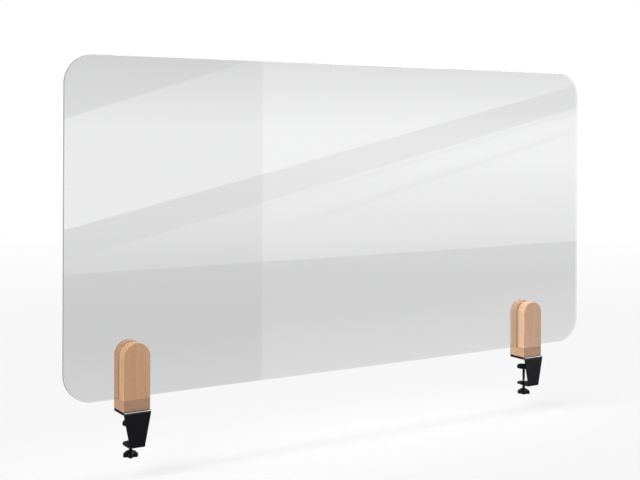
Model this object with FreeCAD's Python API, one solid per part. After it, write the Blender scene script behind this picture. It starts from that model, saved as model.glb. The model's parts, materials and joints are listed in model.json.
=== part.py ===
import FreeCAD, Part
import math
import os

V = FreeCAD.Vector

# Desk privacy panel: a clear sheet held upright by two clamp heads on the front edge of a desk.
# Millimetres. X runs along the desk edge, +Y points over the desk, +Z is up.
# The origin is on the desk top, under the middle of the left clamp's head: the sheet's middle
# plane is Y = 0 and the underside of the seat pads is Z = 0.

# --- sheet -------------------------------------------------------------------------------------
PANEL_LENGTH = 1200.0
PANEL_HEIGHT = 600.0
PANEL_THICK = 5.0
PANEL_CORNER_R = 52.0
PANEL_EDGE_CHAMFER = 0.4
PANEL_OVERHANG = 126.0          # from the sheet's left end to the middle of the left clamp
CLAMP_SPACING = 922.0           # from the left clamp's middle to the right clamp's middle

# --- wooden head -------------------------------------------------------------------------------
HEAD_WIDTH = 50.0               # along X
HEAD_DEPTH = 45.0               # along Y
BASE_HEIGHT = 20.5              # the block under the slot
CHEEK_HEIGHT = 98.0             # from the slot's floor to the top of the arch
CHEEK_ARCH_R = 25.0             # radius of the arch's two shoulders
WOOD_EDGE_R = 1.2               # sanded outer edges
LINER_THICK = 0.4
LINER_INSET = 0.6               # the liner stays this far inside the cheek's outline
LINER_GAP = 0.1                 # running gap between a liner and the sheet

# --- bracket -----------------------------------------------------------------------------------
SEAT_THICK = 2.0                # soft pad between the top plate and the desk
SEAT_INSET = 0.3                # the pad stays inside the plate at the sides and the rear
SEAT_FRONT_INSET = 1.5          # and clear of the bend at the front
STEEL = 3.0                     # sheet steel of the bracket
BEND_INNER_R = 1.0
BRACKET_DROP = 64.0             # from the top plate's upper face to the lug's lower face
PLATE_CORNER_R = 2.0            # rear corners of the top plate
LUG_WIDTH = 28.0                # the front plate tapers from the head's width to this
SPINDLE_OFFSET = 32.0           # from the front plate's outer face to the spindle's axis
COLLAR_HEIGHT = 1.5             # drawn collar round the lug's threaded hole
COLLAR_WALL = 1.8

# --- screws that hold the head on the bracket ----------------------------------------------------
SCREW_R = 2.0
SCREW_HEAD_R = 4.0
SCREW_HEAD_HEIGHT = 2.2
SCREW_LENGTH = 40.0
SCREW_INSET_X = 11.0            # from the head's side to the screw's axis
SCREW_POINT = 5.0               # length of the pointed tip
DRIVE_R = 1.6                   # mouth of the recess in the screw's head
DRIVE_FLOOR_R = 0.5
DRIVE_DEPTH = 1.4

# --- clamping screw ------------------------------------------------------------------------------
DESK_THICK = 18.0               # thickness of the desk that the clamps are shown closed on
THREAD_R = 3.0                  # M6
THREAD_CLEARANCE = 0.05
DISC_R = 14.5
DISC_THICK = 5.0
DISC_EDGE_R = 1.0
FACING_THICK = 2.0              # rubber face glued on the disc
FACING_INSET = 0.8
FACING_EDGE_R = 0.5
NECK_R = 2.0                    # turned neck at the spindle's upper end
NECK_CLEARANCE = 0.1
GROOVE_DEPTH = 0.5
CLIP_R = 3.6
CLIP_THICK = 0.8
CLIP_POCKET_R = 4.4
CLIP_POCKET_DEPTH = 2.2
CLIP_GAP = 0.1                  # between the clip and the pocket's floor
NECK_OVER_CLIP = 0.8            # the neck's end stands this far above the clip
SHOULDER_GAP = 0.1              # between the spindle's shoulder and the disc
KNOB_GAP = 11.0                 # from the lug's lower face to the knob's hub
HUB_R = 6.5
HUB_TOP_R = 5.5
HUB_HEIGHT = 3.0
KNOB_R = 13.5                   # over the lobes
KNOB_LOBES = 5
KNOB_LOBE_R = 4.0
KNOB_HOLLOW = 1.15              # above 1 the hollows between the lobes get wider and shallower
KNOB_HEIGHT = 8.0               # of the lobes, without the hub
KNOB_EDGE_R = 1.2
KNOB_ANGLE_LEFT = -112.0        # direction of one lobe, degrees from +X
KNOB_ANGLE_RIGHT = -132.0
HEX_FLATS = 10.0                # head of the M6 screw, moulded into the knob
HEX_HEIGHT = 4.0
CAP_R = 7.0
CAP_THICK = 1.6
CAP_EDGE_R = 0.5
POCKET_CLEARANCE = 0.05         # knob pockets round the hexagon head and the cap

# --- places that follow from the sizes -----------------------------------------------------------
Z_PLATE = SEAT_THICK                              # underside of the top plate
Z_BASE = Z_PLATE + STEEL                          # underside of the wooden base
Z_SLOT = Z_BASE + BASE_HEIGHT                     # floor of the slot, lower edge of the sheet
Z_LUG = Z_BASE - BRACKET_DROP                     # underside of the lug
Z_FACING = -DESK_THICK                            # upper face of the pressure disc's rubber
Z_DISC = Z_FACING - FACING_THICK - DISC_THICK     # underside of the pressure disc
Z_KNOB = Z_LUG - KNOB_GAP - HUB_HEIGHT            # upper face of the knob's lobes
Z_KNOB_LOW = Z_KNOB - KNOB_HEIGHT                 # lower face of the knob
SLOT_HALF = PANEL_THICK / 2 + LINER_GAP + LINER_THICK
CHEEK_DEPTH = HEAD_DEPTH / 2 - SLOT_HALF
BEND_OUTER_R = BEND_INNER_R + STEEL
Y_HEAD_FRONT = -HEAD_DEPTH / 2
Y_FRONT = Y_HEAD_FRONT - BEND_OUTER_R             # outer face of the front plate
Y_SPINDLE = Y_FRONT + SPINDLE_OFFSET
EPS = 1.0                                         # how far a cutting body runs past its work
TOL = 0.01                                        # two places closer than this are the same
DIAGONAL = math.sqrt(0.5)                         # halfway point of a quarter circle of radius 1


def box(x0, x1, y0, y1, z0, z1):
    return Part.makeBox(x1 - x0, y1 - y0, z1 - z0, V(x0, y0, z0))


def prism(points, direction):
    """Closed outline through the points, pushed along the direction."""
    wire = Part.makePolygon(points + [points[0]])
    return Part.Face(wire).extrude(direction)


def ring(outer_r, inner_r, z0, height):
    outer = Part.makeCylinder(outer_r, height, V(0, 0, z0))
    return outer.cut(Part.makeCylinder(inner_r, height, V(0, 0, z0)))


def edges_where(shape, test):
    return [edge for edge in shape.Edges if test(edge.BoundBox)]


def drilled_for_screws(solid):
    for screw in head_screws(False):
        solid = solid.cut(screw)
    return solid


def rounded_sheet():
    """The clear sheet: four round corners and a small polished chamfer all round."""
    x0, y = -PANEL_OVERHANG, PANEL_THICK / 2
    sheet = box(x0, x0 + PANEL_LENGTH, -y, y, Z_SLOT, Z_SLOT + PANEL_HEIGHT)
    corners = edges_where(sheet, lambda b: b.YLength > PANEL_THICK / 2)
    sheet = sheet.makeFillet(PANEL_CORNER_R, corners)
    rims = edges_where(sheet, lambda b: b.YLength < PANEL_THICK / 2)
    return sheet.makeChamfer(PANEL_EDGE_CHAMFER, rims)


def arched_plate(inset, y0, y1):
    """A plate with the cheek's outline, drawn in by the inset, between two depths."""
    half = HEAD_WIDTH / 2 - inset
    radius = min(CHEEK_ARCH_R, HEAD_WIDTH / 2) - inset
    z0 = Z_SLOT + inset
    z1 = Z_SLOT + CHEEK_HEIGHT - inset
    bend = radius * DIAGONAL
    left, right = -half + radius, half - radius
    shoulder = z1 - radius

    def at(x, z):
        return V(x, y0, z)

    right_bend = Part.Arc(at(half, shoulder), at(right + bend, shoulder + bend), at(right, z1))
    left_bend = Part.Arc(at(left, z1), at(left - bend, shoulder + bend), at(-half, shoulder))
    curves = [
        Part.LineSegment(at(-half, z0), at(half, z0)),
        Part.LineSegment(at(half, z0), at(half, shoulder)),
        right_bend,
        left_bend,
        Part.LineSegment(at(-half, shoulder), at(-half, z0)),
    ]
    if right - left > TOL:
        curves.append(Part.LineSegment(at(right, z1), at(left, z1)))
    wire = Part.Wire(Part.__sortEdges__([curve.toShape() for curve in curves]))
    return Part.Face(wire).extrude(V(0, y1 - y0, 0))


def cheek(side):
    """One arched cheek. side is -1 for the front cheek and +1 for the rear one."""
    inner, outer = side * SLOT_HALF, side * HEAD_DEPTH / 2
    solid = arched_plate(0.0, inner, outer)

    def on_rim(b):
        return abs(b.YMin - outer) < TOL and b.YLength < TOL and b.ZMax > Z_SLOT + TOL

    return solid.makeFillet(WOOD_EDGE_R, edges_where(solid, on_rim))


def base_block():
    half = HEAD_WIDTH / 2
    block = box(-half, half, -HEAD_DEPTH / 2, HEAD_DEPTH / 2, Z_BASE, Z_SLOT)
    uprights = edges_where(block, lambda b: b.ZLength > BASE_HEIGHT / 2)
    return block.makeFillet(WOOD_EDGE_R, uprights)


def liner(side):
    y0 = side * (PANEL_THICK / 2 + LINER_GAP)
    return arched_plate(LINER_INSET, y0, side * SLOT_HALF)


def screw_places():
    x = HEAD_WIDTH / 2 - SCREW_INSET_X
    y = SLOT_HALF + CHEEK_DEPTH / 2
    return [(sx * x, sy * y) for sx in (-1, 1) for sy in (-1, 1)]


def head_screw():
    """Countersunk screw on the Z axis, its head flush with the top plate's underside."""
    outline = [
        V(0, 0, Z_PLATE), V(SCREW_HEAD_R, 0, Z_PLATE), V(SCREW_R, 0, Z_PLATE + SCREW_HEAD_HEIGHT),
        V(SCREW_R, 0, Z_PLATE + SCREW_LENGTH - SCREW_POINT), V(0, 0, Z_PLATE + SCREW_LENGTH),
    ]
    wire = Part.makePolygon(outline + [outline[0]])
    return Part.Face(wire).revolve(V(0, 0, 0), V(0, 0, 1), 360)


def head_screws(drilled):
    """The four screws as separate solids; drilled gives them their drive recess."""
    screw = head_screw()
    if drilled:
        screw = screw.cut(Part.makeCone(DRIVE_R, DRIVE_FLOOR_R, DRIVE_DEPTH, V(0, 0, Z_PLATE)))
    return [screw.translated(V(x, y, 0)) for x, y in screw_places()]


def bracket_profile():
    """Side view of the bent steel: top plate, front plate and lug, with round bends."""
    y_rear = HEAD_DEPTH / 2
    y_tip = Y_SPINDLE + LUG_WIDTH / 2
    r_in, r_out = BEND_INNER_R, BEND_OUTER_R
    y_in = Y_FRONT + STEEL
    z_lug_top = Z_LUG + STEEL
    d_in, d_out = r_in * DIAGONAL, r_out * DIAGONAL
    yc = Y_FRONT + r_out                    # both bends share this centre line
    z_up, z_low = Z_BASE - r_out, Z_LUG + r_out

    def line(a, b):
        return Part.LineSegment(V(0, *a), V(0, *b)).toShape()

    def arc(a, m, b):
        return Part.Arc(V(0, *a), V(0, *m), V(0, *b)).toShape()

    edges = [
        line((y_rear, Z_BASE), (yc, Z_BASE)),
        arc((yc, Z_BASE), (yc - d_out, z_up + d_out), (Y_FRONT, z_up)),
        line((Y_FRONT, z_up), (Y_FRONT, z_low)),
        arc((Y_FRONT, z_low), (yc - d_out, z_low - d_out), (yc, Z_LUG)),
        line((yc, Z_LUG), (y_tip, Z_LUG)),
        line((y_tip, Z_LUG), (y_tip, z_lug_top)),
        line((y_tip, z_lug_top), (yc, z_lug_top)),
        arc((yc, z_lug_top), (yc - d_in, z_low - d_in), (y_in, z_low)),
        line((y_in, z_low), (y_in, z_up)),
        arc((y_in, z_up), (yc - d_in, z_up + d_in), (yc, Z_PLATE)),
        line((yc, Z_PLATE), (y_rear, Z_PLATE)),
        line((y_rear, Z_PLATE), (y_rear, Z_BASE)),
    ]
    return Part.Face(Part.Wire(edges))


def front_taper():
    """Keeps the bracket's outline as seen from the front: the head's width above, the lug's below."""
    half, lug = HEAD_WIDTH / 2, LUG_WIDTH / 2
    z_wide, z_narrow = Z_BASE - BEND_OUTER_R, Z_LUG + BEND_OUTER_R
    y0 = Y_FRONT - EPS
    outline = [
        V(-half, y0, Z_BASE + EPS), V(half, y0, Z_BASE + EPS), V(half, y0, z_wide),
        V(lug, y0, z_narrow), V(lug, y0, Z_LUG - EPS), V(-lug, y0, Z_LUG - EPS),
        V(-lug, y0, z_narrow), V(-half, y0, z_wide),
    ]
    return prism(outline, V(0, HEAD_DEPTH + 2 * BEND_OUTER_R + 2 * EPS, 0))


def beyond_lug_tip():
    """What is cut away to leave the lug's end round."""
    half, lug = HEAD_WIDTH / 2, LUG_WIDTH / 2
    z0, z1 = Z_LUG - EPS, (Z_LUG + Z_PLATE) / 2
    block = box(-half, half, Y_SPINDLE, Y_SPINDLE + LUG_WIDTH, z0, z1)
    return block.cut(Part.makeCylinder(lug, z1 - z0, V(0, Y_SPINDLE, z0)))


def bracket():
    """One piece of bent steel with a drawn, threaded collar in the lug."""
    solid = bracket_profile().extrude(V(HEAD_WIDTH, 0, 0)).translated(V(-HEAD_WIDTH / 2, 0, 0))
    solid = solid.common(front_taper()).cut(beyond_lug_tip())

    def at_rear_corner(b):
        return b.ZMin > Z_PLATE - TOL and abs(b.YMin - HEAD_DEPTH / 2) < TOL and b.XLength < TOL

    solid = solid.makeFillet(PLATE_CORNER_R, edges_where(solid, at_rear_corner))
    bore = THREAD_R + THREAD_CLEARANCE
    collar = ring(bore + COLLAR_WALL, bore, Z_LUG + STEEL, COLLAR_HEIGHT)
    hole = Part.makeCylinder(bore, STEEL + 2 * EPS, V(0, Y_SPINDLE, Z_LUG - EPS))
    solid = solid.cut(hole).fuse(collar.translated(V(0, Y_SPINDLE, 0))).removeSplitter()
    return drilled_for_screws(solid)


def seat_pad():
    half = HEAD_WIDTH / 2 - SEAT_INSET
    y_front, y_rear = Y_HEAD_FRONT + SEAT_FRONT_INSET, HEAD_DEPTH / 2 - SEAT_INSET
    pad = box(-half, half, y_front, y_rear, 0, SEAT_THICK)
    uprights = edges_where(pad, lambda b: b.ZLength > SEAT_THICK / 2)
    return pad.makeFillet(PLATE_CORNER_R, uprights)


def pressure_disc():
    """Disc with a hole for the spindle's neck and a pocket above it for the clip."""
    disc = Part.makeCylinder(DISC_R, DISC_THICK, V(0, 0, Z_DISC))
    lower_rim = edges_where(disc, lambda b: b.ZLength < TOL and b.ZMin < Z_DISC + TOL)
    disc = disc.makeFillet(DISC_EDGE_R, lower_rim)
    top = Z_DISC + DISC_THICK
    pocket = Part.makeCylinder(CLIP_POCKET_R, CLIP_POCKET_DEPTH, V(0, 0, top - CLIP_POCKET_DEPTH))
    hole = Part.makeCylinder(NECK_R + NECK_CLEARANCE, DISC_THICK, V(0, 0, Z_DISC))
    return disc.cut(pocket).cut(hole)


def pad_facing():
    facing = Part.makeCylinder(DISC_R - FACING_INSET, FACING_THICK, V(0, 0, Z_FACING - FACING_THICK))
    top = edges_where(facing, lambda b: b.ZLength < TOL and b.ZMin > Z_FACING - TOL)
    return facing.makeFillet(FACING_EDGE_R, top)


def clip_bottom():
    return Z_DISC + DISC_THICK - CLIP_POCKET_DEPTH + CLIP_GAP


def pad_clip():
    """Flat clip in the neck's groove, open on one side."""
    clip = ring(CLIP_R, NECK_R - GROOVE_DEPTH, clip_bottom(), CLIP_THICK)
    mouth = NECK_R - GROOVE_DEPTH
    z0 = clip_bottom() - EPS
    return clip.cut(box(0, CLIP_R + EPS, -mouth, mouth, z0, z0 + CLIP_THICK + 2 * EPS))


def knob_turn(angle, shape):
    shape = shape.copy()
    shape.rotate(V(0, 0, 0), V(0, 0, 1), angle)
    return shape


def hexagon(flats, z0, height):
    r = flats / math.sqrt(3)
    corners = [math.radians(60 * i) for i in range(6)]
    return prism([V(r * math.cos(a), r * math.sin(a), z0) for a in corners], V(0, 0, height))


def spindle():
    """M6 screw, head down: neck and groove at the top, hexagon head inside the knob."""
    z_head = Z_KNOB_LOW + CAP_THICK
    z_shank = z_head + HEX_HEIGHT
    z_shoulder = Z_DISC - SHOULDER_GAP
    z_top = clip_bottom() + CLIP_THICK + NECK_OVER_CLIP
    rod = Part.makeCylinder(THREAD_R, z_shoulder - z_shank, V(0, 0, z_shank))
    neck = Part.makeCylinder(NECK_R, z_top - z_shoulder, V(0, 0, z_shoulder))
    groove = ring(NECK_R + EPS, NECK_R - GROOVE_DEPTH, clip_bottom(), CLIP_THICK)
    return hexagon(HEX_FLATS, z_head, HEX_HEIGHT).fuse([rod, neck]).cut(groove).removeSplitter()


def polar(radius, angle):
    return V(radius * math.cos(angle), radius * math.sin(angle), 0)


def knob_outline():
    """Star outline: each lobe is an arc, joined to the next by a hollow arc."""
    step = 2 * math.pi / KNOB_LOBES
    tip = KNOB_R - KNOB_LOBE_R                    # centre of a lobe's arc
    half_chord = tip * math.sin(step / 2)
    middle = tip * math.cos(step / 2)             # midpoint between two lobe centres
    hollow_r = half_chord * KNOB_HOLLOW - KNOB_LOBE_R
    reach = hollow_r + KNOB_LOBE_R
    centre = middle + math.sqrt(reach * reach - half_chord * half_chord)
    hollows = []
    for i in range(KNOB_LOBES):
        lobe, following = polar(tip, i * step), polar(tip, (i + 1) * step)
        between = (i + 0.5) * step
        hollow = polar(centre, between)
        start = lobe + (hollow - lobe) * (KNOB_LOBE_R / reach)
        end = following + (hollow - following) * (KNOB_LOBE_R / reach)
        hollows.append((start, polar(centre - hollow_r, between), end))
    edges = []
    for i in range(KNOB_LOBES):
        start, deepest, end = hollows[i]
        following_start = hollows[(i + 1) % KNOB_LOBES][0]
        edges.append(Part.Arc(start, deepest, end).toShape())
        edges.append(Part.Arc(end, polar(KNOB_R, (i + 1) * step), following_start).toShape())
    return Part.Face(Part.Wire(edges))


def knob():
    """Star knob with a tapered hub above, and a pocket below for the screw's head and the cap."""
    star = knob_outline().extrude(V(0, 0, KNOB_HEIGHT)).translated(V(0, 0, Z_KNOB_LOW))
    star = star.makeFillet(KNOB_EDGE_R, edges_where(star, lambda b: b.ZLength < TOL))
    star = star.fuse(Part.makeCone(HUB_R, HUB_TOP_R, HUB_HEIGHT, V(0, 0, Z_KNOB)))
    bore_height = KNOB_HEIGHT + HUB_HEIGHT + EPS
    star = star.cut(Part.makeCylinder(THREAD_R + POCKET_CLEARANCE, bore_height, V(0, 0, Z_KNOB_LOW)))
    star = star.cut(hexagon(HEX_FLATS + 2 * POCKET_CLEARANCE, Z_KNOB_LOW, CAP_THICK + HEX_HEIGHT))
    star = star.cut(Part.makeCylinder(CAP_R + POCKET_CLEARANCE, CAP_THICK, V(0, 0, Z_KNOB_LOW)))
    return star.removeSplitter()


def knob_cap():
    cap = Part.makeCylinder(CAP_R, CAP_THICK, V(0, 0, Z_KNOB_LOW))
    lower_rim = edges_where(cap, lambda b: b.ZMax < Z_KNOB_LOW + TOL)
    return cap.makeFillet(CAP_EDGE_R, lower_rim)


def clamp_nodes(knob_angle):
    """Every node of one clamp, with its head's middle at X = 0."""
    on_axis = {
        "spindle": knob_turn(knob_angle, spindle()),
        "pad_clip": knob_turn(knob_angle, pad_clip()),
        "knob": knob_turn(knob_angle, knob()),
        "knob_cap": knob_cap(),
        "pressure_disc": pressure_disc(),
        "pad_facing": pad_facing(),
    }
    nodes = {name: shape.translated(V(0, Y_SPINDLE, 0)) for name, shape in on_axis.items()}
    nodes["bracket"] = bracket()
    nodes["seat_pad"] = seat_pad()
    nodes["base_block"] = drilled_for_screws(base_block())
    nodes["front_cheek"] = drilled_for_screws(cheek(-1))
    nodes["rear_cheek"] = drilled_for_screws(cheek(1))
    nodes["front_liner"] = liner(-1)
    nodes["rear_liner"] = liner(1)
    nodes["head_screws"] = Part.makeCompound(head_screws(True))
    return nodes


def main():
    os.makedirs("parts", exist_ok=True)
    shapes = {"panel": rounded_sheet()}
    clamps = (("left", 0.0, KNOB_ANGLE_LEFT), ("right", CLAMP_SPACING, KNOB_ANGLE_RIGHT))
    for side, x, angle in clamps:
        for name, shape in clamp_nodes(angle).items():
            shapes[side + "_" + name] = shape.translated(V(x, 0, 0))
    for name, shape in shapes.items():
        shape.exportStep("parts/" + name + ".step")
        state = "valid" if shape.isValid() else "INVALID"
        print(name, state, len(shape.Solids), round(shape.Volume, 1))


main()
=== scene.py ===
import json
import math

import bpy
import bmesh
from mathutils import Matrix, Vector


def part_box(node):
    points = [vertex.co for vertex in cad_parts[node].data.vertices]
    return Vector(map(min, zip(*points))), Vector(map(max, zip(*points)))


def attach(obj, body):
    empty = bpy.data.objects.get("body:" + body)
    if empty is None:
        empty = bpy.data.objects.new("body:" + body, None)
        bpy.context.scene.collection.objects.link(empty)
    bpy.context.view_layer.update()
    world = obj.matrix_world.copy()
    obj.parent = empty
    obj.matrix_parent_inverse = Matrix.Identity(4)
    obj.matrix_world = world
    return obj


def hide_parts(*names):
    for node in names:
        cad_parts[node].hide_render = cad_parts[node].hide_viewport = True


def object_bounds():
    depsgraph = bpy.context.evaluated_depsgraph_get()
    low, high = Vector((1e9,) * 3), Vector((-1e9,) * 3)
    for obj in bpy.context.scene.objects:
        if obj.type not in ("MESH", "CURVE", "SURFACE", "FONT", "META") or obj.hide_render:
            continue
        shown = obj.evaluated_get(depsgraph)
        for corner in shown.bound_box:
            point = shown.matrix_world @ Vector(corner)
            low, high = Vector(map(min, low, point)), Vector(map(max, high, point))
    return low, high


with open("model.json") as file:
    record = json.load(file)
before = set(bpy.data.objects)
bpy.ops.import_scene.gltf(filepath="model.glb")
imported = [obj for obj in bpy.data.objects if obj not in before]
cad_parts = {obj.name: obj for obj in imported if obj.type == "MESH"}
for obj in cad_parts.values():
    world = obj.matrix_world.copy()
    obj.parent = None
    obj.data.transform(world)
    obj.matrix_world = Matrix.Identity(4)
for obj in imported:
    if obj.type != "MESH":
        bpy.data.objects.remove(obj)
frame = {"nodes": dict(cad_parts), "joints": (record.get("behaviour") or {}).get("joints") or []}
cad_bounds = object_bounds()
SIDES = ("left", "right")

# --- the frame's own places ----------------------------------------------------------------------
PANEL_LOW, PANEL_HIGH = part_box("panel")
PANEL_MIDDLE = (PANEL_LOW + PANEL_HIGH) / 2
LOWEST = cad_bounds[0][2]
JAW_DROP = -next(j["range_m"][0] for j in frame["joints"] if j["name"] == "left_jaw_travel")

# --- camera: level, turned towards the right-hand end of the panel, metres from its middle --------
CAMERA_OFFSET = Vector((-1.2343, -1.8425, 0.4684))   # the height is above the panel's lower edge
CAMERA_YAW = math.radians(31.93)
CAMERA_ROLL = math.radians(0.21)
CAMERA_LENS = 62.81
CAMERA_SHIFT = -0.1697

# --- sheet ---------------------------------------------------------------------------------------
CORNER_R = 0.052
CORNER_STEPS = 24
EDGE_CHAMFER = 0.0004
FACE_TINT = (0.842, 0.843, 0.844, 1.0)    # what one face lets through
HEAD_ON_MIRROR = 0.045                    # share mirrored by one face of acrylic met square on

# --- studio: floor, surroundings and lights -------------------------------------------------------
FLOOR_R = 14.0
FLOOR_CORNERS = 96
FLOOR_GAP = 0.004                         # below the lowest place that the knobs reach
FLOOR_WHITE_FROM, FLOOR_WHITE_TO = 1.6, 4.5    # the floor turns white between these distances
FLOOR_GLOW = 0.66                         # share of the floor's paleness that shadows leave alone
AMBIENT_GREY = 0.41                       # surroundings as a light
MIRRORED_GREY = 0.09                      # surroundings as reflections show them
SUN_TOWARDS = (0.79, 0.15, -0.59)
SUN_STRENGTH = 2.3
SUN_ANGLE = 60.0
GLOSS_SHIFT = 1.4                         # the gloss light hangs this far right of the panel's middle
GLOSS_HEIGHT = 2.3
GLOSS_SIZE = (4.4, 2.4)
GLOSS_POWER = 850.0

# --- studio card: the fields of light that the sheet mirrors, in metres on the panel ---------------
CARD_DISTANCE = 1.6
CARD_HALF, CARD_LOW, CARD_HIGH = 0.75, 0.0, 0.72
BAND_TOP = (0.437, 0.231)                 # each edge: its height at the panel's middle and its slope
BAND_LOW = (0.3835, 0.2337)
WEDGE = (0.6754, 0.3129)
WEDGE_SHARE = 0.58                        # what is left of the light above the wedge's edge
LEFT_FIELD = (-0.2155, -0.2125, 0.8)      # the field left of here is darker by this much
HORIZON = (0.2205, 0.2235, 0.32)          # below here only this share of the light is left
FOOT_LIGHT = (0.14, 0.9)                  # the lowest field gets lighter below this height
# each dark line: height at the middle, slope, half of its width and how dark it is
DARK_LINES = ((0.324, 0.25, 0.010, 0.55), (0.375, 0.2337, 0.008, 0.55))
DARK_LINE_ENDS = (-0.30, 0.10)            # the lines begin between these places

# --- spindle: M6 screw, its places measured from the shoulder under the neck -----------------------
THREAD_R = 0.003
THREAD_PITCH = 0.001
THREAD_DEPTH = 0.0006
THREAD_RUN_OUT = 0.0012         # the thread dies away over this length at each end
NECK_R = 0.002
NECK_HEIGHT = 0.0046
GROOVE_R = 0.0015
GROOVE_PLACES = (0.0030, 0.0038)
HEX_FLATS = 0.010
HEX_HEIGHT = 0.004
RING_CORNERS = 24
ROWS_PER_TURN = 6
SPINDLE_ANGLES = {"left": math.radians(-112.0), "right": math.radians(-132.0)}


# =================================================================================================
# node helpers
# =================================================================================================
class Nodes:
    """A material's node tree with short ways to add and join nodes."""

    def __init__(self, name):
        self.material = bpy.data.materials.new(name)
        self.material.use_nodes = True
        self.tree = self.material.node_tree
        self.tree.nodes.clear()
        self.output = self.tree.nodes.new("ShaderNodeOutputMaterial")

    def add(self, kind, **settings):
        node = self.tree.nodes.new("ShaderNode" + kind)
        for key, value in settings.items():
            setattr(node, key, value)
        return node

    def join(self, source, target):
        self.tree.links.new(source, target)

    def set(self, node, **values):
        for key, value in values.items():
            node.inputs[key.replace("_", " ")].default_value = value
        return node

    def object_coordinates(self, scale):
        coordinates = self.add("TexCoord")
        mapping = self.add("Mapping")
        mapping.inputs["Scale"].default_value = scale
        self.join(coordinates.outputs["Object"], mapping.inputs["Vector"])
        return mapping.outputs["Vector"]

    def noise(self, scale, detail=3.0, roughness=0.55, distortion=0.0):
        node = self.add("TexNoise")
        self.set(node, Scale=1.0, Detail=detail, Roughness=roughness, Distortion=distortion)
        self.join(self.object_coordinates(scale), node.inputs["Vector"])
        return node.outputs["Fac"]

    def spread(self, source, low, high, to_low=0.0, to_high=1.0):
        node = self.add("MapRange")
        self.join(source, node.inputs["Value"])
        node.inputs["From Min"].default_value = low
        node.inputs["From Max"].default_value = high
        node.inputs["To Min"].default_value = to_low
        node.inputs["To Max"].default_value = to_high
        return node.outputs["Result"]

    def maths(self, operation, a, b):
        node = self.add("Math", operation=operation)
        for value, socket in ((a, node.inputs[0]), (b, node.inputs[1])):
            if isinstance(value, (int, float)):
                socket.default_value = value
            else:
                self.join(value, socket)
        return node.outputs["Value"]

    def blend_colours(self, factor, a, b, mode="MIX"):
        node = self.add("Mix", data_type="RGBA", blend_type=mode)
        for value, socket in ((factor, node.inputs[0]), (a, node.inputs[6]), (b, node.inputs[7])):
            if isinstance(value, (int, float, tuple)):
                socket.default_value = value
            else:
                self.join(value, socket)
        return node.outputs[2]

    def ramp(self, source, stops):
        node = self.add("ValToRGB")
        while len(node.color_ramp.elements) < len(stops):
            node.color_ramp.elements.new(0.5)
        for element, (place, colour) in zip(node.color_ramp.elements, stops):
            element.position = place
            element.color = colour
        self.join(source, node.inputs["Fac"])
        return node.outputs["Color"]

    def bump(self, height, strength, distance):
        node = self.add("Bump")
        self.set(node, Strength=strength, Distance=distance)
        self.join(height, node.inputs["Height"])
        return node.outputs["Normal"]

    def principled(self, **values):
        node = self.add("BsdfPrincipled")
        for key, value in values.items():
            node.inputs[key.replace("_", " ")].default_value = value
        self.join(node.outputs["BSDF"], self.output.inputs["Surface"])
        return node


def grey(value):
    return (value, value, value, 1.0)


# =================================================================================================
# materials
# =================================================================================================
def beech(name, grain_axis, light, dark):
    """Steamed beech: soft bands, fine fibres and the short dark ray flecks that run with the grain."""
    n = Nodes(name)

    def along(across, lengthwise):
        scale = [across, across, across]
        scale[grain_axis] = lengthwise
        return tuple(scale)

    bands = n.noise(along(55.0, 3.5), detail=4.0, roughness=0.5, distortion=0.4)
    rings = n.noise(along(240.0, 5.0), detail=2.0, roughness=0.4, distortion=0.3)
    fibres = n.noise(along(2600.0, 55.0), detail=3.0, roughness=0.6)
    flecks = n.noise(along(1300.0, 260.0), detail=1.0, roughness=0.4)
    base = n.ramp(n.spread(bands, 0.3, 0.7), [(0.0, dark), (1.0, light)])
    base = n.blend_colours(n.spread(rings, 0.42, 0.62, 0.0, 0.35), base, dark, "MIX")
    fibre_tone = n.spread(fibres, 0.3, 0.7, 0.86, 1.06)
    base = n.blend_colours(1.0, base, fibre_tone, "MULTIPLY")
    fleck_mask = n.spread(flecks, 0.66, 0.74, 0.0, 0.55)
    fleck_colour = (dark[0] * 0.55, dark[1] * 0.5, dark[2] * 0.45, 1.0)
    base = n.blend_colours(fleck_mask, base, fleck_colour, "MIX")
    shader = n.principled(IOR=1.5, Specular_IOR_Level=0.08)
    n.join(base, shader.inputs["Base Color"])
    n.join(n.spread(fibres, 0.3, 0.7, 0.52, 0.66), shader.inputs["Roughness"])
    relief = n.maths("SUBTRACT", fibres, n.maths("MULTIPLY", fleck_mask, 0.8))
    n.join(n.bump(relief, 0.25, 0.00008), shader.inputs["Normal"])
    return n.material


def powder_coat():
    """Black satin powder coat with its fine orange peel."""
    n = Nodes("powder_coat")
    peel = n.noise((900.0, 900.0, 900.0), detail=2.0, roughness=0.5)
    cloud = n.noise((60.0, 60.0, 60.0), detail=3.0)
    shader = n.principled(Base_Color=(0.0055, 0.0056, 0.0085, 1.0), Specular_IOR_Level=0.36)
    n.join(n.spread(cloud, 0.3, 0.7, 0.22, 0.29), shader.inputs["Roughness"])
    n.join(n.bump(peel, 0.18, 0.0001), shader.inputs["Normal"])
    return n.material


def moulded_plastic(name, colour, roughness):
    """Black moulded plastic with a spark-eroded texture."""
    n = Nodes(name)
    grain = n.noise((2200.0, 2200.0, 2200.0), detail=2.0, roughness=0.6)
    cloud = n.noise((90.0, 90.0, 90.0), detail=2.0)
    shader = n.principled(Base_Color=colour, Specular_IOR_Level=0.3)
    n.join(n.spread(cloud, 0.3, 0.7, roughness - 0.05, roughness + 0.06), shader.inputs["Roughness"])
    n.join(n.bump(grain, 0.3, 0.00006), shader.inputs["Normal"])
    return n.material


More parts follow.
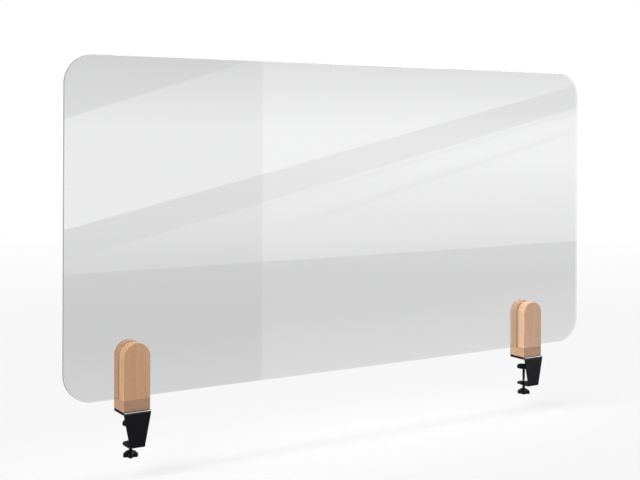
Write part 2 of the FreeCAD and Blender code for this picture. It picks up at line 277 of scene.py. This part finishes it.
def rubber():
    """Matt black rubber of the seat pads and the disc facings."""
    n = Nodes("soft_rubber")
    grain = n.noise((1500.0, 1500.0, 1500.0), detail=3.0, roughness=0.7)
    shader = n.principled(Specular_IOR_Level=0.2)
    n.join(n.ramp(grain, [(0.3, grey(0.006)), (0.75, grey(0.013))]), shader.inputs["Base Color"])
    n.join(n.spread(grain, 0.3, 0.7, 0.72, 0.88), shader.inputs["Roughness"])
    n.join(n.bump(grain, 0.4, 0.0001), shader.inputs["Normal"])
    return n.material


def felt_strip_painted_glow():
    """Beige strip with a faint painted glow that lightens its shaded slot, standing in for the light
    that the clear sheet carries into the slot.
    """
    n = Nodes("felt_strip_painted_glow")
    wool = n.noise((1800.0, 1800.0, 1800.0), detail=4.0, roughness=0.75)
    # painted light: the Emission Strength makes the strip glow though it is no lamp, lightening the
    # shade in the slot
    shader = n.principled(Roughness=0.95, Specular_IOR_Level=0.2, Emission_Strength=0.25)
    wool_tones = [(0.3, (0.56, 0.41, 0.29, 1.0)), (0.7, (0.82, 0.63, 0.47, 1.0))]
    tone = n.ramp(wool, wool_tones)
    n.join(tone, shader.inputs["Base Color"])
    # the wool tone is also the colour of the painted glow
    n.join(tone, shader.inputs["Emission Color"])
    n.join(n.bump(wool, 0.6, 0.0002), shader.inputs["Normal"])
    return n.material


def steel(name, colour, roughness):
    """Turned or plated steel with faint rings round the Z axis."""
    n = Nodes(name)
    rings = n.noise((40.0, 40.0, 4000.0), detail=2.0)
    spots = n.noise((500.0, 500.0, 500.0), detail=3.0)
    shader = n.principled(Base_Color=colour, Metallic=1.0)
    mixed = n.maths("ADD", n.maths("MULTIPLY", rings, 0.5), n.maths("MULTIPLY", spots, 0.5))
    n.join(n.spread(mixed, 0.3, 0.7, roughness - 0.08, roughness + 0.1), shader.inputs["Roughness"])
    n.join(n.bump(mixed, 0.15, 0.00004), shader.inputs["Normal"])
    return n.material


def clear_face():
    """One face of the clear sheet: it tints what is behind it and mirrors more at a low angle."""
    n = Nodes("clear_face")
    passed = n.set(n.add("BsdfTransparent"), Color=FACE_TINT)
    mirror = n.set(n.add("BsdfGlossy"), Color=grey(1.0))
    smudge = n.noise((14.0, 14.0, 14.0), detail=5.0, roughness=0.65)
    n.join(n.spread(smudge, 0.35, 0.8, 0.004, 0.02), mirror.inputs["Roughness"])
    facing = n.set(n.add("LayerWeight"), Blend=0.5).outputs["Facing"]
    low_angle = n.maths("MULTIPLY", n.maths("POWER", facing, 5.0), 1.0 - HEAD_ON_MIRROR)
    mix = n.add("MixShader")
    n.join(n.maths("ADD", low_angle, HEAD_ON_MIRROR), mix.inputs["Fac"])
    n.join(passed.outputs["BSDF"], mix.inputs[1])
    n.join(mirror.outputs["BSDF"], mix.inputs[2])
    n.join(mix.outputs["Shader"], n.output.inputs["Surface"])
    return n.material


def clear_rim():
    """The polished edge: a painted grey from outside that stands in for the darker look refraction gives
    a clear edge, and clear where it is seen through the sheet.
    """
    n = Nodes("clear_rim")
    saw = n.noise((300.0, 300.0, 300.0), detail=2.0)
    outside = n.add("BsdfPrincipled")
    # painted shade: the grey base colour and alpha below stand in for the darkening that refraction
    # gives the polished edge
    n.set(outside, IOR=1.49, Specular_IOR_Level=0.15, Alpha=0.85)
    rim_painted_shade_greys = [(0.3, (0.23, 0.24, 0.25, 1.0)), (0.7, (0.31, 0.32, 0.33, 1.0))]
    n.join(n.ramp(saw, rim_painted_shade_greys), outside.inputs["Base Color"])
    n.join(n.spread(saw, 0.3, 0.7, 0.25, 0.4), outside.inputs["Roughness"])
    inside = n.set(n.add("BsdfTransparent"), Color=grey(0.95))
    mix = n.add("MixShader")
    n.join(n.add("NewGeometry").outputs["Backfacing"], mix.inputs["Fac"])
    n.join(outside.outputs["BSDF"], mix.inputs[1])
    n.join(inside.outputs["BSDF"], mix.inputs[2])
    n.join(mix.outputs["Shader"], n.output.inputs["Surface"])
    return n.material


def floor_paper():
    """Pale floor, partly glowing, that turns into the white surroundings with distance."""
    n = Nodes("floor_paper")
    coordinates = n.add("TexCoord")
    length = n.add("VectorMath", operation="LENGTH")
    n.join(coordinates.outputs["Object"], length.inputs[0])
    matt = n.set(n.add("BsdfDiffuse"), Color=grey(0.93))
    glow = n.set(n.add("Emission"), Color=grey(1.0), Strength=1.0)
    mix = n.add("MixShader")
    whiteness = n.spread(length.outputs["Value"], FLOOR_WHITE_FROM, FLOOR_WHITE_TO, FLOOR_GLOW, 1.0)
    n.join(whiteness, mix.inputs["Fac"])
    n.join(matt.outputs["BSDF"], mix.inputs[1])
    n.join(glow.outputs["Emission"], mix.inputs[2])
    n.join(mix.outputs["Shader"], n.output.inputs["Surface"])
    return n.material


def striped_glow():
    """Light of the studio card: bright fields with slanted edges, as windows and walls would give.

    Each edge is a straight line, height = start + slope * x, in the card's own metres, and a ramp
    runs between two heights with a level at each."""
    n = Nodes("striped_glow")
    split = n.add("SeparateXYZ")
    n.join(n.add("TexCoord").outputs["Object"], split.inputs["Vector"])
    x, z = split.outputs["X"], split.outputs["Z"]

    def above(start, slope, soft=0.0015):
        height = n.maths("SUBTRACT", z, n.maths("MULTIPLY", x, slope))
        return n.spread(height, start - soft, start + soft)

    def dark_line(start, slope, half_width, depth):
        height = n.maths("SUBTRACT", z, n.maths("MULTIPLY", x, slope))
        away = n.maths("ABSOLUTE", n.maths("SUBTRACT", height, start), 0.0)
        profile = n.spread(away, 0.0, half_width, depth, 0.0)
        return n.maths("MULTIPLY", profile, n.spread(x, *DARK_LINE_ENDS))

    horizon_low, horizon_high, horizon_share = HORIZON
    left_from, left_to, left_depth = LEFT_FIELD
    foot_height, foot_level = FOOT_LIGHT
    top_fade = n.spread(z, 0.47, 0.60, 3.25, 1.4)
    low_fade = n.spread(z, 0.22, 0.42, 1.5, 3.15)
    below = n.spread(z, horizon_low, horizon_high, horizon_share, 1.0)
    low_fade = n.maths("MULTIPLY", low_fade, below)
    low_fade = n.maths("MINIMUM", low_fade, top_fade)
    over_band = above(*BAND_TOP)
    over_low = above(*BAND_LOW)
    wedge = above(*WEDGE)
    level = n.maths("MULTIPLY", low_fade, n.maths("SUBTRACT", 1.0, over_low))
    band_rise = n.spread(z, 0.30, 0.40, 1.55, 2.05)
    band_fall = n.spread(z, 0.46, 0.53, 2.05, 1.2)
    band_fade = n.maths("MINIMUM", band_rise, band_fall)
    band = n.maths("MULTIPLY", band_fade, n.maths("SUBTRACT", over_low, over_band))
    upper = n.maths("MULTIPLY", top_fade, over_band)
    level = n.maths("ADD", n.maths("ADD", level, band), upper)
    level = n.maths("MULTIPLY", level, n.spread(wedge, 0.0, 1.0, 1.0, WEDGE_SHARE))
    level = n.maths("SUBTRACT", level, n.spread(x, left_from, left_to, left_depth, 0.0))
    for line in DARK_LINES:
        level = n.maths("SUBTRACT", level, dark_line(*line))
    level = n.maths("ADD", level, n.spread(z, 0.0, foot_height, foot_level, 0.0))
    glow = n.set(n.add("Emission"), Color=grey(1.0))
    n.join(n.maths("MAXIMUM", level, 0.0), glow.inputs["Strength"])
    n.join(glow.outputs["Emission"], n.output.inputs["Surface"])
    return n.material


# =================================================================================================
# mesh helpers
# =================================================================================================
def new_object(name, mesh):
    made = bpy.data.objects.new(name, mesh)
    bpy.context.scene.collection.objects.link(made)
    return made


def dress(node_name, material):
    """Gives a CAD node that keeps its shape a better material."""
    node = frame["nodes"][node_name]
    node.data.materials.clear()
    node.data.materials.append(material)


def sheet_outline(inset):
    """The sheet's outline in X and Z, drawn in by the inset, anticlockwise from the lower right."""
    radius = CORNER_R - inset
    x0, x1 = PANEL_LOW.x + CORNER_R, PANEL_HIGH.x - CORNER_R
    z0, z1 = PANEL_LOW.z + CORNER_R, PANEL_HIGH.z - CORNER_R
    corners = ((x1, z0, -90.0), (x1, z1, 0.0), (x0, z1, 90.0), (x0, z0, 180.0))
    points = []
    for cx, cz, start in corners:
        for i in range(CORNER_STEPS + 1):
            angle = math.radians(start + 90.0 * i / CORNER_STEPS)
            points.append((cx + radius * math.cos(angle), cz + radius * math.sin(angle)))
    return points


def clear_sheet(face_material, rim_material):
    """The sheet as one closed mesh: two flat faces, a polished rim and a chamfer between."""
    y0, y1 = PANEL_LOW.y, PANEL_HIGH.y
    levels = ((y0, EDGE_CHAMFER), (y0 + EDGE_CHAMFER, 0.0), (y1 - EDGE_CHAMFER, 0.0), (y1, EDGE_CHAMFER))
    bm = bmesh.new()
    loops = [[bm.verts.new((x, y, z)) for x, z in sheet_outline(inset)] for y, inset in levels]
    for lower, upper in zip(loops, loops[1:]):
        for i in range(len(lower)):
            j = (i + 1) % len(lower)
            rim = bm.faces.new((lower[i], upper[i], upper[j], lower[j]))
            rim.material_index = 1
            rim.smooth = True
    bm.faces.new(loops[0])
    bm.faces.new(list(reversed(loops[-1])))
    bmesh.ops.recalc_face_normals(bm, faces=bm.faces)
    mesh = bpy.data.meshes.new("clear_sheet")
    bm.to_mesh(mesh)
    bm.free()
    mesh.materials.append(face_material)
    mesh.materials.append(rim_material)
    made = new_object("clear_sheet", mesh)
    mesh.set_sharp_from_angle(angle=math.radians(30.0))
    return made


def thread_radius(z, angle, ends):
    """Radius of the right-hand thread at a height and an angle round the axis."""
    phase = (z / THREAD_PITCH - angle / (2.0 * math.pi)) % 1.0
    depth = min(1.0, max(0.0, 1.35 * abs(2.0 * phase - 1.0) - 0.15))
    nearest_end = min(z - ends[0], ends[1] - z)
    return THREAD_R - THREAD_DEPTH * depth * min(1.0, max(0.0, nearest_end / THREAD_RUN_OUT))


def hexagon_radius(angle):
    """Distance from the axis to a hexagon's side, a corner lying at angle 0."""
    from_flat = angle % (math.pi / 3.0) - math.pi / 6.0
    return HEX_FLATS / 2.0 / math.cos(from_flat)


def spindle_rows(bottom, shoulder):
    """Every ring of the spindle from below, as pairs of height and a radius for each angle."""
    def plain(radius):
        return lambda angle: radius

    def threaded(z):
        return lambda angle: thread_radius(z, angle, (shank, shoulder))

    shank = bottom + HEX_HEIGHT
    rows = [(bottom, hexagon_radius), (shank, hexagon_radius)]
    count = round((shoulder - shank) / THREAD_PITCH * ROWS_PER_TURN)
    heights = [shank + (shoulder - shank) * i / count for i in range(count + 1)]
    rows += [(z, threaded(z)) for z in heights]
    low, high = (shoulder + place for place in GROOVE_PLACES)
    rows += [(shoulder, plain(NECK_R)), (low, plain(NECK_R)), (low, plain(GROOVE_R))]
    rows += [(high, plain(GROOVE_R)), (high, plain(NECK_R)), (shoulder + NECK_HEIGHT, plain(NECK_R))]
    return rows


def threaded_spindle(side, material):
    """The screw of one clamp with its real thread, in place of the plain CAD spindle."""
    low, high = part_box(side + "_spindle")
    centre = (low + high) / 2
    bm = bmesh.new()
    angles = [2.0 * math.pi * i / RING_CORNERS for i in range(RING_CORNERS)]
    turn = SPINDLE_ANGLES[side]
    rings = []
    for z, radius in spindle_rows(low.z, high.z - NECK_HEIGHT):
        places = [(radius(a), a + turn) for a in angles]
        flat = [(centre.x + r * math.cos(a), centre.y + r * math.sin(a)) for r, a in places]
        rings.append([bm.verts.new((x, y, z)) for x, y in flat])
    for lower, upper in zip(rings, rings[1:]):
        for i in range(RING_CORNERS):
            j = (i + 1) % RING_CORNERS
            bm.faces.new((lower[i], lower[j], upper[j], upper[i])).smooth = True
    bm.faces.new(list(reversed(rings[0])))
    bm.faces.new(rings[-1])
    mesh = bpy.data.meshes.new(side + "_threaded_spindle")
    bm.to_mesh(mesh)
    bm.free()
    mesh.materials.append(material)
    made = new_object(side + "_threaded_spindle", mesh)
    mesh.set_sharp_from_angle(angle=math.radians(50.0))
    return made


# =================================================================================================
# scene
# =================================================================================================
def place_camera():
    camera = bpy.data.cameras.new("camera")
    camera.lens = CAMERA_LENS
    camera.sensor_width = 36.0
    camera.shift_y = CAMERA_SHIFT
    camera.clip_end = 100.0
    made = new_object("camera", camera)
    right = Vector((math.cos(CAMERA_YAW), -math.sin(CAMERA_YAW), 0.0))
    ahead = Vector((math.sin(CAMERA_YAW), math.cos(CAMERA_YAW), 0.0))
    up = Vector((0.0, 0.0, 1.0))
    tilted_right = right * math.cos(CAMERA_ROLL) + up * math.sin(CAMERA_ROLL)
    tilted_up = up * math.cos(CAMERA_ROLL) - right * math.sin(CAMERA_ROLL)
    turn = Matrix((tilted_right, tilted_up, -ahead)).transposed().to_4x4()
    foot = Vector((PANEL_MIDDLE.x, PANEL_MIDDLE.y, PANEL_LOW.z))
    made.matrix_world = Matrix.Translation(foot + CAMERA_OFFSET) @ turn
    bpy.context.scene.camera = made


def soft_light(name, place, target, size, power):
    light = bpy.data.lights.new(name, "AREA")
    light.shape = "RECTANGLE"
    light.size, light.size_y = size
    light.energy = power
    made = new_object(name, light)
    made.location = place
    made.rotation_euler = (Vector(target) - Vector(place)).to_track_quat("-Z", "Y").to_euler()
    made.visible_camera = False
    return made


def lay_floor(z):
    bm = bmesh.new()
    bmesh.ops.create_circle(bm, cap_ends=True, segments=FLOOR_CORNERS, radius=FLOOR_R)
    mesh = bpy.data.meshes.new("floor")
    bm.to_mesh(mesh)
    bm.free()
    mesh.materials.append(floor_paper())
    floor = new_object("floor", mesh)
    floor.location = (PANEL_MIDDLE.x, 0.0, z)
    floor.visible_glossy = False


def white_surroundings():
    """White where the camera looks straight at it, grey as a light and darker in reflections."""
    world = bpy.data.worlds.new("studio")
    bpy.context.scene.world = world
    world.use_nodes = True
    tree = world.node_tree
    tree.nodes.clear()
    output = tree.nodes.new("ShaderNodeOutputWorld")
    seen = tree.nodes.new("ShaderNodeBackground")
    seen.inputs["Color"].default_value = grey(1.0)
    ambient = tree.nodes.new("ShaderNodeBackground")
    ambient.inputs["Color"].default_value = grey(AMBIENT_GREY)
    mirrored = tree.nodes.new("ShaderNodeBackground")
    mirrored.inputs["Color"].default_value = grey(MIRRORED_GREY)
    path = tree.nodes.new("ShaderNodeLightPath")
    unseen = tree.nodes.new("ShaderNodeMixShader")
    tree.links.new(path.outputs["Is Glossy Ray"], unseen.inputs["Fac"])
    tree.links.new(ambient.outputs["Background"], unseen.inputs[1])
    tree.links.new(mirrored.outputs["Background"], unseen.inputs[2])
    mix = tree.nodes.new("ShaderNodeMixShader")
    tree.links.new(path.outputs["Is Camera Ray"], mix.inputs["Fac"])
    tree.links.new(unseen.outputs["Shader"], mix.inputs[1])
    tree.links.new(seen.outputs["Background"], mix.inputs[2])
    tree.links.new(mix.outputs["Shader"], output.inputs["Surface"])


def sun(name, towards, strength, angle):
    light = bpy.data.lights.new(name, "SUN")
    light.energy = strength
    light.angle = math.radians(angle)
    made = new_object(name, light)
    made.rotation_euler = Vector(towards).to_track_quat("-Z", "Y").to_euler()
    made.visible_glossy = False
    return made


def studio_card(distance):
    """A card in front of the sheet that only mirror-like surfaces see.

    It is the panel's outline thrown from the camera's mirror image on to a plane at that distance,
    so one metre of the card's own coordinates is one metre of the panel as the camera sees it."""
    grown = 1.0 - distance / CAMERA_OFFSET.y
    bm = bmesh.new()
    outline = (
        (-CARD_HALF, CARD_LOW), (CARD_HALF, CARD_LOW),
        (CARD_HALF, CARD_HIGH), (-CARD_HALF, CARD_HIGH),
    )
    bm.faces.new([bm.verts.new((x, 0.0, z)) for x, z in outline])
    mesh = bpy.data.meshes.new("studio_card")
    bm.to_mesh(mesh)
    bm.free()
    mesh.materials.append(striped_glow())
    card = new_object("studio_card", mesh)
    card.scale = (grown, grown, grown)
    card.location = (
        PANEL_MIDDLE.x + CAMERA_OFFSET.x * (1.0 - grown),
        PANEL_MIDDLE.y - distance,
        PANEL_LOW.z + CAMERA_OFFSET.z * (1.0 - grown),
    )
    card.visible_camera = False
    card.visible_diffuse = False
    card.visible_shadow = False
    card.visible_transmission = False


def light_studio():
    sun("key", SUN_TOWARDS, SUN_STRENGTH, SUN_ANGLE)
    x = PANEL_MIDDLE.x + GLOSS_SHIFT
    gloss = soft_light("gloss", (x, 0.0, GLOSS_HEIGHT), (x, 0.0, 0.0), GLOSS_SIZE, GLOSS_POWER)
    gloss.visible_diffuse = False
    studio_card(CARD_DISTANCE)


# --- materials and pieces --------------------------------------------------------------------------
# the two heads are cut from different boards: for each side the light and the dark of its grain
BOARDS = {
    "left": (((0.67, 0.405, 0.248, 1.0), (0.58, 0.333, 0.193, 1.0)),
             ((0.50, 0.30, 0.198, 1.0), (0.425, 0.245, 0.155, 1.0))),
    "right": (((0.72, 0.465, 0.32, 1.0), (0.62, 0.385, 0.255, 1.0)),
              ((0.56, 0.345, 0.235, 1.0), (0.475, 0.28, 0.182, 1.0))),
}
black_coat = powder_coat()
black_plastic = moulded_plastic("black_plastic", (0.0065, 0.0065, 0.0085, 1.0), 0.42)
black_rubber = rubber()
strip = felt_strip_painted_glow()
black_steel = steel("black_steel", (0.09, 0.09, 0.095, 1.0), 0.36)
bright_steel = steel("bright_steel", (0.62, 0.63, 0.65, 1.0), 0.3)

DRESSES = {
    "front_liner": strip, "rear_liner": strip,
    "bracket": black_coat, "seat_pad": black_rubber, "pad_facing": black_rubber,
    "head_screws": bright_steel, "pad_clip": bright_steel,
    "pressure_disc": black_plastic, "knob": black_plastic, "knob_cap": black_plastic,
}
for side in SIDES:
    upright, level = BOARDS[side]
    upright_beech = beech(side + "_beech_upright", 2, *upright)
    dress(side + "_front_cheek", upright_beech)
    dress(side + "_rear_cheek", upright_beech)
    dress(side + "_base_block", beech(side + "_beech_level", 0, *level))
    for part, material in DRESSES.items():
        dress(side + "_" + part, material)

sheet = clear_sheet(clear_face(), clear_rim())
sheet.visible_shadow = False
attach(sheet, "panel")
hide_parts("panel")

for side in SIDES:
    spindle = threaded_spindle(side, black_steel)
    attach(spindle, side + "_screw")
    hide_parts(side + "_spindle")

lay_floor(LOWEST - JAW_DROP - FLOOR_GAP)
white_surroundings()
light_studio()
place_camera()
bpy.context.scene.view_settings.view_transform = "Standard"
